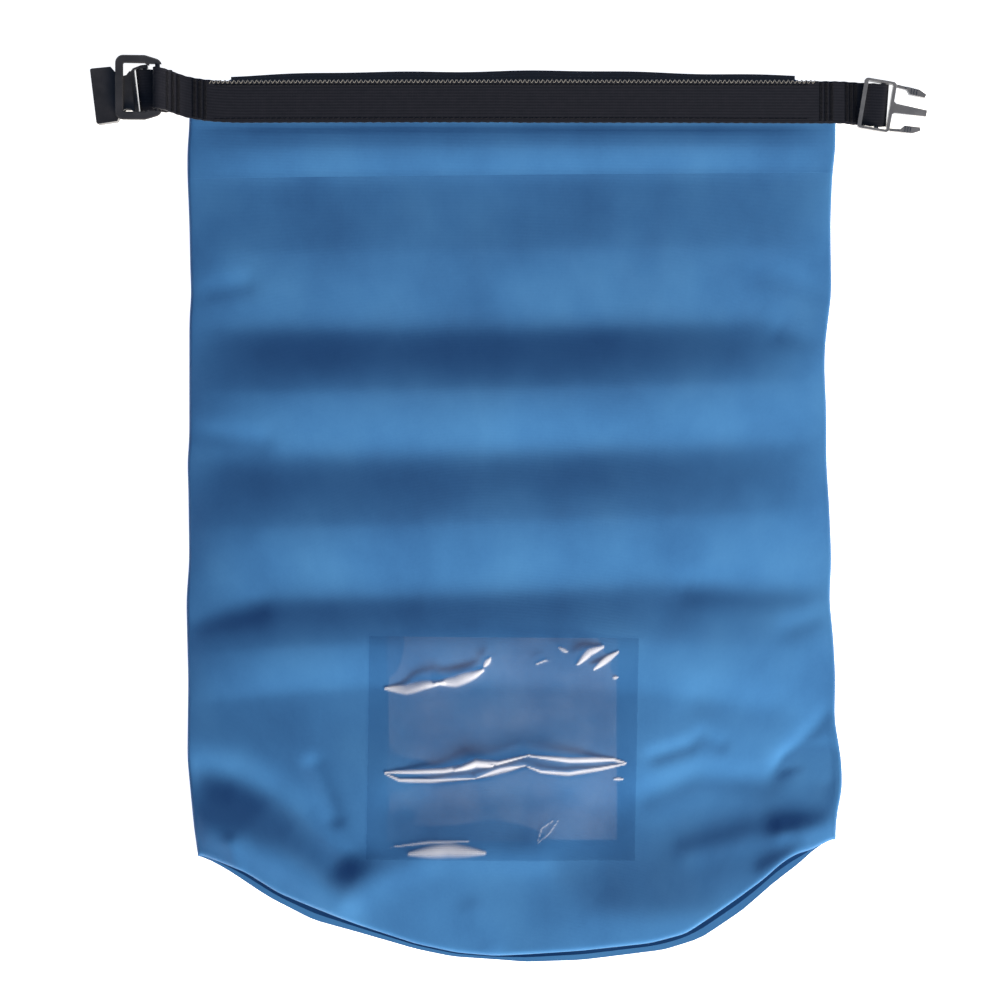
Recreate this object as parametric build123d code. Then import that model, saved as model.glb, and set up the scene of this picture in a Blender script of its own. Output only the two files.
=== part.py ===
from build123d import *
from math import cos, radians, sin
import os

# A roll-top dry bag lying empty on its back.
# Frame: origin on the underside at the bag's centreline, +X to the right seen from the front,
# +Y towards the mouth, +Z up from the surface it lies on, out of the front panel. Millimetres.

# ---- coated fabric bag -------------------------------------------------------------------
HALF_WIDTH = 190.5          # half of the flat width, fold to fold
FABRIC = 0.6                # coated fabric
EDGE_THICK = 4.2            # thickness of the soft side folds
CORNER_Y = -203.0           # where the side folds meet the curved bottom
BACK_SAG = 66.7             # depth of the curved bottom edge, back panel
FRONT_SAG = 61.5            # depth of the curved bottom edge, front panel
PUFF = (                    # how far down from the second fold, crown height of the front
    (0.09, 11.0),
    (0.27, 18.0),
    (0.57, 23.0),
    (0.85, 17.0),
    (1.0, 10.0),
)
GUSSET_GAP = 0.15           # gap between the base gusset and the panels
GUSSET_FOLD_CROWN = 7.0     # crown of the gusset where it folds inside the bag

# ---- mouth bands -------------------------------------------------------------------------
WEBBING = 25.0              # webbing width
WEB_THICK = 1.2             # webbing thickness
BAND_Y = 229.7              # lower edge of the front band
BAND_HALF = HALF_WIDTH + 4.5        # the front band runs a little past both side folds
HEM_INNER = 0.2             # spare room round the stiffener in its hem
STRIP_THICK = 0.6           # stiffener strip
STRIP_WIDTH = WEBBING - 5.0
STRIP_HALF = HALF_WIDTH - 15.5
STRIP_END_ROOM = 2.0        # the hem's inner layer runs this far past the stiffener
BACK_BAND_HALF = HALF_WIDTH - 22.5
BACK_BAND_RISE = 6.6        # the back band stands this far above the front one
BACK_BAND_BOW = 3.0         # bow of the back band's long edges
BACK_BAND_PROUD = 1.0       # the back band stands this far above the fabric's edge
THREAD = 0.5                # sewing thread thickness
THREAD_LIFT = 0.02          # thread lies on the webbing
SEAM_INSET = 2.5            # sewn rows, in from the band's long edges
SEAM_HALF = HALF_WIDTH - 14.0       # sewn rows stop short of the bar tacks
EDGE_ROW_HALF = HALF_WIDTH - 10.0   # the overcast row along the hem's raw edge
TACK_LENGTH = WEBBING - 3.0         # bar tacks across the webbing
TACK_WIDTH = 1.6
TACK_PITCH = 3.2
TACK_COUNT = 3

# ---- roll-down folds ---------------------------------------------------------------------
UPPER_FOLD_Y = BAND_Y - 6.2         # first fold of the roll, just below the bands
LOWER_FOLD_Y = UPPER_FOLD_Y - WEBBING - 18.5    # second fold of the roll
LOWER_FOLD_CROWN = 9.0      # crown height at the second fold
MOUTH_CROWN = 8.2           # crown height from the first fold to the mouth
FOLD_GAP = 0.3              # half gap between the fabric lengths at a fold

# ---- window pocket -----------------------------------------------------------------------
WINDOW_LEFT, WINDOW_RIGHT = -85.7, 73.2
WINDOW_UP = 62.3            # its lower edge above the lowest point of the bag
WINDOW_TALL = 132.1
WINDOW_WELD = 10.0          # welded margin at the sides and the bottom
FILM = 0.4
FILM_LIFT = 0.15            # film above the fabric at the weld
POCKET_RISE = 7.0           # how far the loose film stands off the panel at the open edge

# ---- webbing tabs ------------------------------------------------------------------------
TAB_GAP = 0.4               # gap between the band's end and a tab
TAB_Z = 4.2                 # middle of a doubled webbing tab where it leaves the band
BAND_MIDDLE = BAND_Y + WEBBING / 2
RING_STRAP_YAW = -9.0       # the ring's strap climbs towards the mouth
RING_TACK_ALONG = 6.2       # middle of its bar tacks, from the band's end
RING_TACK_LIFT = 0.45       # thread above the sloping strap
LOOP_TAIL = 8.0             # the socket's loop starts this far out from the band's end
LOOP_SINK = 1.0             # its sewn end lies this much lower than the bar
PLUG_STRAP_YAW = -4.0
PLUG_TACK_ALONG = 5.4
PLUG_SHANK = 9.0            # the plug's strap opens round the bar from here, before the bar
LOOP_CLEAR = 0.15           # clearance round a bar in its webbing loop
SOCKET_SKEW = 7.0           # how far a buckle can turn on its webbing, each way, degrees
PLUG_SKEW = 6.0
SLOT_ROOM = 0.5             # spare room in a buckle's slot past its turned webbing loop

# ---- ring --------------------------------------------------------------------------------
RING_BAR_X = -BAND_HALF - 16.0
RING_BAR_Y = BAND_MIDDLE + 8.2
RING_BAR_Z = 9.4
RING_BAR_R = 1.5
RING_THICK = 3.2
RING_ROD = 4.8              # width of the moulded bars seen from above
RING_REACH = 25.0           # from the loop bar's middle to the outside of the far bar
RING_SLOT = WEBBING + 3.0   # length of the round bar that the webbing turns on
RING_HALF_TALL = RING_SLOT / 2 + 5.2
RING_NEAR_HALF = WEBBING / 2 + 3.6  # where the sloping shoulders meet the loop bar
RING_NEAR = 1.2             # flat of the moulding outside the loop bar
RING_TILT = 6.0             # it lies on the socket buckle, tipped up by this much
RING_SHOULDER = 7.5         # how far the sloping shoulders run along the ring
RING_INNER_ROUND = 0.8      # share of the rod taken off the inner corners' radius
RIM_EASE = 0.6

# ---- socket half of the buckle (left) ----------------------------------------------------
SOCKET_X = -BAND_HALF - 22.5        # middle of its webbing bar
SOCKET_Y = BAND_MIDDLE + 7.0
SOCKET_Z = 3.2
SOCKET_YAW = 7.0
SOCKET_BAR_R = 1.5
SOCKET_PLAN = (             # half outline: distance from the bar, half width in webbing widths
    (32.0, 0.648),
    (30.8, 0.664),
    (19.6, 0.652),
    (16.4, 0.456),
    (14.2, 0.392),
    (11.0, 0.408),
    (6.8, 0.568),
    (2.0, 0.616),
    (-1.9, 0.616),
)
SOCKET_MOUTH_ROUND = 0.8
SOCKET_TAIL_LONG = 8.6      # the low tail runs this far from the bar
SOCKET_TAIL_THICK = 5.2
SOCKET_THICK = 8.5
SOCKET_FLOOR = 0.5          # height of its underside
CAVITY_HEIGHT = 5.8
CAVITY_DEPTH = 21.0
SOCKET_SLOT_HALF = WEBBING / 2 + 0.9
SOCKET_SLOT_END = (          # room for the webbing loop to turn on the bar
    WEBBING * sin(radians(SOCKET_SKEW)) + SOCKET_BAR_R + LOOP_CLEAR + WEB_THICK + SLOT_ROOM
)
SOCKET_REAR_OPEN = 3.25     # the slot is open to the rear of the bar

# ---- plug half of the buckle (right) -----------------------------------------------------
PLUG_X = BAND_HALF + 23.3   # middle of its webbing bar
PLUG_Y = BAND_MIDDLE - 2.0
PLUG_Z = 3.8
PLUG_YAW = -9.5
PLUG_BAR_R = 1.4
PLUG_BACK = -11.6           # outer edge of the ladder bar
PLUG_SLOT_HALF = WEBBING / 2 + 1.1
PLUG_HALF = PLUG_SLOT_HALF + 1.5
PLUG_FLOOR, PLUG_TOP = 1.0, 7.3
PLUG_CORNER = 2.2
PLUG_EASE = 0.5
PLUG_RAIL = 1.9             # front rail
PLUG_FRONT = (              # its outer edge, clear of the webbing loop turned on the bar
    PLUG_RAIL + WEBBING * sin(radians(PLUG_SKEW)) + PLUG_BAR_R + LOOP_CLEAR + WEB_THICK + SLOT_ROOM
)
LADDER_BAR = 2.4            # ladder bar along the buckle
LADDER_FLOOR = 5.6          # the ladder bar lies over the webbing
PLUG_TIP = 28.1
TONGUE_ROOT, TONGUE_TIP = 5.5, 3.7
TONGUE_FLARE = 1.6          # the tongue spreads into the rail over about this much
TONGUE_THICK = 3.4
ARM_Y = PLUG_SLOT_HALF - 0.4        # middle of an arm at its root
ARM_WIDTH = 1.7
ARM_THICK = 3.8
ARM_TAPER = 0.5
ARM_GAP = 0.25              # gap between an arm's root and the front rail
HEAD_START, HEAD_END = 14.6, 26.0
HEAD_OUT = PLUG_SLOT_HALF
HEAD_IN = HEAD_OUT - 4.7
HEAD_NOSE = 4.5             # length of the sloping nose
HEAD_BLUNT = 2.0            # width of the blunt tip
HEAD_THICK = 5.2
RIB_COUNT = 3               # grip ribs on each arm's head
RIB_START = 2.2
RIB_WIDTH, RIB_DEPTH = 0.8, 0.5
CAVITY_HALF = HEAD_OUT + 0.6        # the socket's cavity clears the heads

# ---- making ------------------------------------------------------------------------------
PAST = 1.0                  # cutters run this far past the faces that they cut
HUGE = 600.0                # larger than the bag

BOTTOM_Y = CORNER_Y - BACK_SAG
BODY_TOP_Y = LOWER_FOLD_Y - FOLD_GAP
BODY_RUN = BODY_TOP_Y - BOTTOM_Y + PAST
BODY_STATIONS = ((BODY_TOP_Y, LOWER_FOLD_CROWN),) + tuple(
    (BODY_TOP_Y - share * BODY_RUN, crown) for share, crown in PUFF
)
WINDOW_BOTTOM = BOTTOM_Y + WINDOW_UP
WINDOW_TOP = WINDOW_BOTTOM + WINDOW_TALL


def crown_at(y):
    """Height of the body's crown, straight between stations."""
    for (y0, h0), (y1, h1) in zip(BODY_STATIONS, BODY_STATIONS[1:]):
        if y >= y1:
            return h0 + (h1 - h0) * (y - y0) / (y1 - y0)
    return BODY_STATIONS[-1][1]


def arch_z(x, crown, half, edge):
    """Height at x of the circular arch from (half, edge) over (0, crown)."""
    rise = crown - edge
    radius = (half * half + rise * rise) / (2 * rise)
    return crown - radius + (radius * radius - x * x) ** 0.5


def panel_z(x, y):
    """Height of the front panel's outer face."""
    return arch_z(x, crown_at(y), HALF_WIDTH - EDGE_THICK / 2, EDGE_THICK)


def tube_section(y, low, high, crown, inset=0.0):
    """Closed outline across the bag: flat underside, round side folds, arched front."""
    flat = HALF_WIDTH - EDGE_THICK / 2
    wide = HALF_WIDTH - inset
    low, high, crown = low + inset, high - inset, crown - inset
    middle = (low + high) / 2
    outline = Wire(
        [
            Line((-flat, y, low), (flat, y, low)),
            ThreePointArc((flat, y, low), (wide, y, middle), (flat, y, high)),
            ThreePointArc((flat, y, high), (0, y, crown), (-flat, y, high)),
            ThreePointArc((-flat, y, high), (-wide, y, middle), (-flat, y, low)),
        ]
    )
    return Face(outline)


def tube(stations, inset=0.0, extend=0.0):
    """Solid through bag outlines at (y, crown) stations; extend lengthens both ends."""
    rows = list(stations)
    rows[0] = (rows[0][0] + extend, rows[0][1])
    rows[-1] = (rows[-1][0] - extend, rows[-1][1])
    faces = [tube_section(y, 0.0, EDGE_THICK, crown, inset) for y, crown in rows]
    return loft(faces, ruled=True)


def fabric_tube(stations):
    """Open-ended fabric tube of one wall thickness."""
    return tube(stations) - tube(stations, FABRIC, PAST)


def below_edge(sag, low, high):
    """Everything beyond the curved bottom edge, between two heights."""
    left, right = (-HALF_WIDTH, CORNER_Y), (HALF_WIDTH, CORNER_Y)
    outline = Wire(
        [
            ThreePointArc(left, (0, CORNER_Y - sag), right),
            Line(right, (HUGE, CORNER_Y)),
            Line((HUGE, CORNER_Y), (HUGE, -HUGE)),
            Line((HUGE, -HUGE), (-HUGE, -HUGE)),
            Line((-HUGE, -HUGE), (-HUGE, CORNER_Y)),
            Line((-HUGE, CORNER_Y), left),
        ]
    )
    return Pos(0, 0, low) * extrude(Face(outline), high - low, dir=(0, 0, 1))


def cut_bottom(solid):
    """Trim to the curved bottom; the front panel is cut a little shorter than the back."""
    solid -= below_edge(BACK_SAG, -PAST, HUGE)
    return solid - below_edge(FRONT_SAG, EDGE_THICK / 2, HUGE)


def make_body_tube():
    return cut_bottom(fabric_tube(BODY_STATIONS))


def make_roll_panel():
    return fabric_tube(
        [(UPPER_FOLD_Y - FOLD_GAP, MOUTH_CROWN), (LOWER_FOLD_Y + FOLD_GAP, LOWER_FOLD_CROWN)]
    )


def gusset_pouch(inset, shut):
    """Pouch between the panels: as tall as the bag at the bottom edge, low at its fold."""
    rows = [(CORNER_Y - PAST - shut, GUSSET_FOLD_CROWN), BODY_STATIONS[-1]]
    return tube(rows, inset)


def make_base_gusset():
    """Oval base folded inwards along its long axis, one half welded to each panel."""
    outer = gusset_pouch(FABRIC + GUSSET_GAP, 0.0)
    inner = gusset_pouch(2 * FABRIC + GUSSET_GAP, FABRIC)
    return cut_bottom(outer - inner)


def film_section(y, rise):
    """Film across the pocket: welded margins on the panel, the middle standing off by rise."""
    xs = (
        WINDOW_LEFT,
        WINDOW_LEFT + WINDOW_WELD,
        WINDOW_RIGHT - WINDOW_WELD,
        WINDOW_RIGHT,
    )

    def row(lift):
        arcs = []
        for (x0, x1), stand in zip(zip(xs, xs[1:]), (0.0, rise, 0.0)):
            middle = (x0 + x1) / 2
            ends = [(x, y, panel_z(x, y) + lift) for x in (x0, x1)]
            arcs.append((ends[0], (middle, y, panel_z(middle, y) + lift + stand), ends[1]))
        return arcs

    under, over = row(FILM_LIFT), row(FILM_LIFT + FILM)
    edges = [ThreePointArc(*arc) for arc in under]
    edges.append(Line(under[-1][2], over[-1][2]))
    edges += [ThreePointArc(*reversed(arc)) for arc in reversed(over)]
    edges.append(Line(over[0][0], under[0][0]))
    return Face(Wire(edges))


def make_window_film():
    """Clear film welded along both sides and the bottom, loose in the middle, open at the top."""
    weld_y = WINDOW_BOTTOM + WINDOW_WELD
    slope = POCKET_RISE / (WINDOW_TOP - weld_y)
    stations = [y for y, _ in BODY_STATIONS if WINDOW_BOTTOM < y < WINDOW_TOP]
    rows = sorted({WINDOW_TOP, weld_y, WINDOW_BOTTOM, *stations}, reverse=True)
    return loft([film_section(y, slope * max(y - weld_y, 0.0)) for y in rows], ruled=True)


def band_arch(y0, y1, half, low, high):
    """Strip across the mouth that follows the front panel's arch, between two offsets."""
    def row(offset):
        edge = arch_z(half, MOUTH_CROWN, BAND_HALF, EDGE_THICK) + offset
        return [(-half, y0, edge), (0, y0, MOUTH_CROWN + offset), (half, y0, edge)]

    under, over = row(low), row(high)
    outline = Wire(
        [
            ThreePointArc(*under),
            Line(under[2], over[2]),
            ThreePointArc(*reversed(over)),
            Line(over[0], under[0]),
        ]
    )
    return extrude(Face(outline), y1 - y0, dir=(0, 1, 0))


def hem_section(y, inset=0.0):
    """Outline of the hem: the front wall lies under the band's arch."""
    half = HALF_WIDTH - EDGE_THICK / 2
    high = arch_z(half, MOUTH_CROWN, BAND_HALF, EDGE_THICK)
    return tube_section(y, 0.0, high, MOUTH_CROWN, inset)


def make_mouth_hem():
    """Fabric of the mouth: one layer at the back, folded double round the stiffener in front."""
    top_front = BAND_Y + WEBBING
    top_back = top_front + BACK_BAND_RISE - BACK_BAND_PROUD
    start = UPPER_FOLD_Y + FOLD_GAP
    outer = extrude(hem_section(start), top_back - start, dir=(0, 1, 0))
    inner = extrude(hem_section(start - PAST, FABRIC), top_back - start + 2 * PAST, dir=(0, 1, 0))
    hem = outer - inner
    flap_depth = 2 * FABRIC + STRIP_THICK + HEM_INNER
    hem += band_arch(BAND_Y, top_front, STRIP_HALF + STRIP_END_ROOM, -flap_depth, 0.0)
    pocket_y = BAND_Y + (WEBBING - STRIP_WIDTH) / 2
    hem -= band_arch(
        pocket_y - HEM_INNER / 2,
        pocket_y + STRIP_WIDTH + HEM_INNER / 2,
        STRIP_HALF + HEM_INNER,
        -FABRIC - STRIP_THICK - HEM_INNER,
        -FABRIC,
    )
    upper = Pos(0, top_front + HUGE / 2, FABRIC + HUGE / 2) * Box(2 * HUGE, HUGE, HUGE)
    return hem - upper


def make_stiffener_strip():
    pocket_y = BAND_Y + (WEBBING - STRIP_WIDTH) / 2
    top = -FABRIC - HEM_INNER / 2
    return band_arch(pocket_y, pocket_y + STRIP_WIDTH, STRIP_HALF, top - STRIP_THICK, top)


def make_front_band():
    return band_arch(BAND_Y, BAND_Y + WEBBING, BAND_HALF, 0.0, WEB_THICK)


def make_back_band():
    """Flat webbing on the inside of the back panel, bowed a little towards the mouth."""
    low = BAND_Y + BACK_BAND_RISE - BACK_BAND_BOW
    half = BACK_BAND_HALF
    high = low + WEBBING
    outline = Wire(
        [
            ThreePointArc((-half, low), (0, low + BACK_BAND_BOW), (half, low)),
            Line((half, low), (half, high)),
            ThreePointArc((half, high), (0, high + BACK_BAND_BOW), (-half, high)),
            Line((-half, high), (-half, low)),
        ]
    )
    return Pos(0, 0, FABRIC) * extrude(Face(outline), WEB_THICK)


def make_band_seams():
    """Two sewn rows that hold the front band to the hem."""
    low = WEB_THICK + THREAD_LIFT
    rows = []
    for y in (BAND_Y + SEAM_INSET, BAND_Y + WEBBING - SEAM_INSET):
        rows.append(band_arch(y - THREAD / 2, y + THREAD / 2, SEAM_HALF, low, low + THREAD / 2))
    return Compound(children=rows)


def make_edge_stitching():
    """Overcast row along the raw top edge of the front hem."""
    y = BAND_Y + WEBBING + THREAD_LIFT
    return band_arch(y, y + 2 * THREAD, EDGE_ROW_HALF, -FABRIC, WEB_THICK)


def tack_group(x, y, z, yaw):
    """Bar tacks side by side across the webbing."""
    tacks = []
    for i in range(TACK_COUNT):
        along = (i - (TACK_COUNT - 1) / 2) * TACK_PITCH
        tacks.append(Pos(x, y, z) * Rot(0, 0, yaw) * Pos(along, 0, THREAD / 2)
                     * Box(TACK_WIDTH, TACK_LENGTH, THREAD))
    return Compound(children=tacks)


def band_tack(side):
    """Bar tacks where the band is sewn through at one side fold."""
    x = HALF_WIDTH - TACK_PITCH * TACK_COUNT / 2
    inner_x = x - TACK_PITCH * TACK_COUNT / 2
    top = arch_z(inner_x, MOUTH_CROWN, BAND_HALF, EDGE_THICK) + WEB_THICK + THREAD_LIFT
    return tack_group(side * x, BAND_MIDDLE, top, 0.0)


def make_left_band_tack():
    return band_tack(-1)


def make_right_band_tack():
    return band_tack(1)


def hull_profile(circles):
    """Convex outline round circles given as (x, z, radius), in the XZ plane."""
    edges = []
    for x, z, radius in circles:
        edges += (Pos(x, z) * Circle(radius)).edges()
    return make_hull(edges)


def strap_solid(circles, length_of_hole, hole, width):
    """Doubled webbing round a bar: outline in XZ, the bar's hole, centred on Y."""
    outline = hull_profile(circles)
    hole_x, hole_z, hole_r = hole
    if length_of_hole > 0:
        bar_hole = Pos(hole_x, hole_z) * SlotCenterToCenter(length_of_hole, 2 * hole_r)
    else:
        bar_hole = Pos(hole_x, hole_z) * Circle(hole_r)
    profile = Plane.XZ * (outline - bar_hole)
    return Pos(0, width / 2, 0) * extrude(profile, width)


def ring_strap_place():
    """Where the ring's strap leaves the band: local -X runs along it to the ring's bar."""
    root_x = -BAND_HALF - TAB_GAP
    root_y = RING_BAR_Y + (root_x - RING_BAR_X) * sin(radians(RING_STRAP_YAW))
    return Pos(root_x, root_y, 0) * Rot(0, 0, RING_STRAP_YAW)


def ring_strap_run():
    return (-BAND_HALF - TAB_GAP - RING_BAR_X) / cos(radians(RING_STRAP_YAW))


def make_ring_strap():
    """Strap from the left end of the band, doubled round the ring's bar."""
    run = ring_strap_run()
    hole_r = RING_BAR_R + LOOP_CLEAR
    loop = strap_solid(
        [(-run, RING_BAR_Z, hole_r + WEB_THICK), (-WEB_THICK, TAB_Z, WEB_THICK)],
        0.0,
        (-run, RING_BAR_Z, hole_r),
        WEBBING,
    )
    bore = Pos(-run, 0, RING_BAR_Z) * Rot(0, 0, -RING_STRAP_YAW) * Rot(90, 0, 0)
    loop -= bore * Cylinder(hole_r, 3 * WEBBING)
    return trim_root(ring_strap_place() * loop)


def trim_root(solid):
    """Cut a tab square, clear of the band's end."""
    return solid - Box(2 * (BAND_HALF + TAB_GAP), HUGE, HUGE)


def make_socket_strap():
    """Short doubled strap sewn under the ring's strap; the socket buckle's bar lies in it."""
    slack = WEBBING / 2 * sin(radians(SOCKET_SKEW))
    hole_r = SOCKET_BAR_R + LOOP_CLEAR
    outer = hole_r + WEB_THICK
    circles = [
        (SOCKET_X - slack, SOCKET_Z, outer),
        (SOCKET_X + slack, SOCKET_Z, outer),
        (-BAND_HALF - LOOP_TAIL - WEB_THICK, SOCKET_Z - LOOP_SINK, WEB_THICK),
    ]
    loop = strap_solid(circles, 2 * slack, (SOCKET_X, SOCKET_Z, hole_r), WEBBING)
    return Pos(0, SOCKET_Y, 0) * loop


def plug_strap_place():
    """Where the plug's strap leaves the band: local +X runs along it to the plug's bar."""
    return Pos(BAND_HALF + TAB_GAP, BAND_MIDDLE, 0) * Rot(0, 0, PLUG_STRAP_YAW)


def make_plug_strap():
    """Strap from the right end of the band, doubled round the plug buckle's bar."""
    slack = WEBBING / 2 * sin(radians(PLUG_SKEW))
    hole_r = PLUG_BAR_R + LOOP_CLEAR
    run = (PLUG_X - BAND_HALF - TAB_GAP) / cos(radians(PLUG_STRAP_YAW))
    outer = hole_r + WEB_THICK
    opening = run - PLUG_SHANK
    circles = [
        (run - slack, PLUG_Z, outer),
        (run + slack, PLUG_Z, outer),
        (opening, PLUG_Z, WEB_THICK),
    ]
    loop = strap_solid(circles, 2 * slack, (run, PLUG_Z, hole_r), WEBBING)
    shank = hull_profile([(WEB_THICK, TAB_Z, WEB_THICK), (opening, PLUG_Z, WEB_THICK)])
    loop += Pos(0, WEBBING / 2, 0) * extrude(Plane.XZ * shank, WEBBING)
    return trim_root(plug_strap_place() * loop)


def make_ring_strap_tack():
    """Bar tacks that close the ring's loop, on top of its strap."""
    run = ring_strap_run()
    slope = (RING_BAR_Z + RING_BAR_R + LOOP_CLEAR - TAB_Z) / (run - WEB_THICK)
    top = TAB_Z + WEB_THICK + slope * (RING_TACK_ALONG - WEB_THICK) + RING_TACK_LIFT
    tilt = Vector(1, 0, 0).get_angle(Vector(1, 0, slope))
    tacks = tack_group(0, 0, 0, 0.0)
    return ring_strap_place() * Pos(-RING_TACK_ALONG, 0, top) * Rot(0, tilt, 0) * tacks


def make_plug_strap_tack():
    top = TAB_Z + WEB_THICK + THREAD_LIFT
    return plug_strap_place() * tack_group(PLUG_TACK_ALONG, 0, top, 0.0)


def ring_outline(inset):
    """Half-turned D: straight far side, straight top and bottom, sloping to the loop bar."""
    tall = RING_HALF_TALL - inset
    reach = RING_REACH - inset
    shoulder = RING_NEAR_HALF - inset
    near = RING_BAR_R + RING_NEAR - inset
    points = [
        (-reach, tall),
        (-RING_SHOULDER, tall),
        (near, shoulder),
        (near, -shoulder),
        (-RING_SHOULDER, -tall),
        (-reach, -tall),
    ]
    face = make_face(Polyline(*points, close=True))
    return fillet(face.vertices(), RING_ROD - inset * RING_INNER_ROUND)


def make_d_ring():
    """Moulded ring; the near bar is round where the webbing loop turns on it."""
    ring = extrude(ring_outline(0.0) - ring_outline(RING_ROD), RING_THICK / 2, both=True)
    flats = [e for e in ring.edges() if abs(e.center().Z) > RING_THICK / 2 - FOLD_GAP]
    ring = chamfer(flats, RIM_EASE)
    ring -= Box(2 * RING_ROD, RING_SLOT, 2 * RING_THICK)
    ring += Rot(90, 0, 0) * Cylinder(RING_BAR_R, RING_SLOT + RING_BAR_R)
    return Pos(RING_BAR_X, RING_BAR_Y, RING_BAR_Z) * Rot(0, RING_TILT, 0) * ring


def socket_outline():
    """Plan of the socket buckle, bar at the origin, mouth towards +X."""
    points = [(x, share * WEBBING) for x, share in SOCKET_PLAN]
    mirrored = [(x, -y) for x, y in reversed(points)]
    return make_face(Polyline(*points, *mirrored, close=True))


def make_socket_buckle():
    """Side-release socket: hollow to the front, open side windows, webbing bar at the rear."""
    mouth_x = SOCKET_PLAN[0][0]
    body = extrude(socket_outline(), SOCKET_THICK)
    corners = [e for e in body.edges().filter_by(Axis.Z) if e.center().X > mouth_x - PAST]
    body = fillet(corners, SOCKET_MOUTH_ROUND)
    above_tail = Pos(SOCKET_TAIL_LONG - HUGE / 2, 0, SOCKET_TAIL_THICK + HUGE / 2)
    body -= above_tail * Box(HUGE, HUGE, HUGE)
    cavity_x = mouth_x - CAVITY_DEPTH / 2 + PAST / 2
    body -= Pos(cavity_x, 0, SOCKET_THICK / 2) * Box(
        CAVITY_DEPTH + PAST, 2 * CAVITY_HALF, CAVITY_HEIGHT
    )
    slot_x = (SOCKET_SLOT_END - SOCKET_REAR_OPEN) / 2
    slot_long = SOCKET_SLOT_END + SOCKET_REAR_OPEN
    body -= Pos(slot_x, 0, 0) * Box(slot_long, 2 * SOCKET_SLOT_HALF, 4 * SOCKET_THICK)
    bar = Cylinder(SOCKET_BAR_R, 2 * SOCKET_SLOT_HALF + PAST)
    body += Pos(0, 0, SOCKET_Z - SOCKET_FLOOR) * Rot(90, 0, 0) * bar
    return Pos(SOCKET_X, SOCKET_Y, SOCKET_FLOOR) * Rot(0, 0, 180 + SOCKET_YAW) * body


def plug_place():
    return Pos(PLUG_X, PLUG_Y, 0) * Rot(0, 0, PLUG_YAW)


def plug_tongue():
    """Plan of the middle tongue, spreading into the front rail."""
    root, tip = TONGUE_ROOT / 2, TONGUE_TIP / 2
    half = [
        (PLUG_FRONT - PLUG_EASE, root + TONGUE_FLARE),
        (PLUG_FRONT + TONGUE_FLARE, root),
        (PLUG_TIP, tip),
    ]
    mirrored = [(x, -y) for x, y in reversed(half)]
    return make_face(Polyline(*half, *mirrored, close=True))


def make_plug_frame():
    """Plug half of the buckle without its arms: frame, webbing bar, ladder bar and tongue."""
    long = PLUG_FRONT - PLUG_BACK
    tall = PLUG_TOP - PLUG_FLOOR
    middle_x = (PLUG_FRONT + PLUG_BACK) / 2
    middle_z = (PLUG_TOP + PLUG_FLOOR) / 2
    frame = extrude(RectangleRounded(long, 2 * PLUG_HALF, PLUG_CORNER), tall / 2, both=True)
    for face in (frame.faces().sort_by(Axis.Z)[-1], frame.faces().sort_by(Axis.Z)[0]):
        frame = chamfer(face.edges(), PLUG_EASE)
    frame = Pos(middle_x, 0, middle_z) * frame
    hole_long = long - PLUG_RAIL + PAST
    hole_x = PLUG_FRONT - PLUG_RAIL - hole_long / 2
    hole = Pos(hole_x, 0, middle_z) * Box(hole_long, 2 * PLUG_SLOT_HALF, 2 * tall)
    ladder = frame & Pos(PLUG_BACK + LADDER_BAR / 2, 0, LADDER_FLOOR + tall / 2) * Box(
        LADDER_BAR, 4 * PLUG_HALF, tall
    )
    frame = frame - hole + ladder
    frame += Pos(0, 0, PLUG_Z) * Rot(90, 0, 0) * Cylinder(PLUG_BAR_R, 2 * PLUG_SLOT_HALF + PAST)
    frame += Pos(0, 0, middle_z) * extrude(plug_tongue(), TONGUE_THICK / 2, both=True)
    return plug_place() * frame


def arm_outline(side):
    """Plan of one spring arm with its head."""
    start = PLUG_FRONT + ARM_GAP
    outer = ARM_Y + ARM_WIDTH / 2
    points = [
        (start, outer),
        (HEAD_START - 2 * ARM_TAPER, outer - ARM_TAPER),
        (HEAD_START, HEAD_OUT),
        (HEAD_END - HEAD_NOSE, HEAD_OUT - ARM_TAPER),
        (HEAD_END, HEAD_IN + HEAD_BLUNT),
        (HEAD_END - ARM_TAPER, HEAD_IN),
        (HEAD_START + ARM_WIDTH, HEAD_IN + ARM_TAPER),
        (HEAD_START - ARM_TAPER, outer - ARM_WIDTH - ARM_TAPER),
        (start, outer - ARM_WIDTH),
    ]
    return make_face(Polyline(*[(x, side * y) for x, y in points], close=True))


def make_arm(side):
    """One spring arm with its ribbed head; the moulding's flexing root is the joint."""
    start = PLUG_FRONT + ARM_GAP
    middle_z = (PLUG_TOP + PLUG_FLOOR) / 2
    arm = Pos(0, 0, middle_z) * extrude(arm_outline(side), HEAD_THICK / 2, both=True)
    shave_x = (start + HEAD_START) / 2 - PAST
    for sign in (-1, 1):
        shave_z = middle_z + sign * (ARM_THICK + HEAD_THICK) / 2
        arm -= Pos(shave_x, 0, shave_z) * Box(HEAD_START - start, 4 * ARM_Y, HEAD_THICK)
    for i in range(RIB_COUNT):
        x = HEAD_START + RIB_START + i * 2 * RIB_WIDTH
        groove = Pos(x, side * (HEAD_OUT + HEAD_IN) / 2, middle_z + HEAD_THICK / 2)
        arm -= groove * Box(RIB_WIDTH, 2 * (HEAD_OUT - HEAD_IN), 2 * RIB_DEPTH)
    return plug_place() * arm


def make_upper_arm():
    return make_arm(1)


def make_lower_arm():
    return make_arm(-1)


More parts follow.
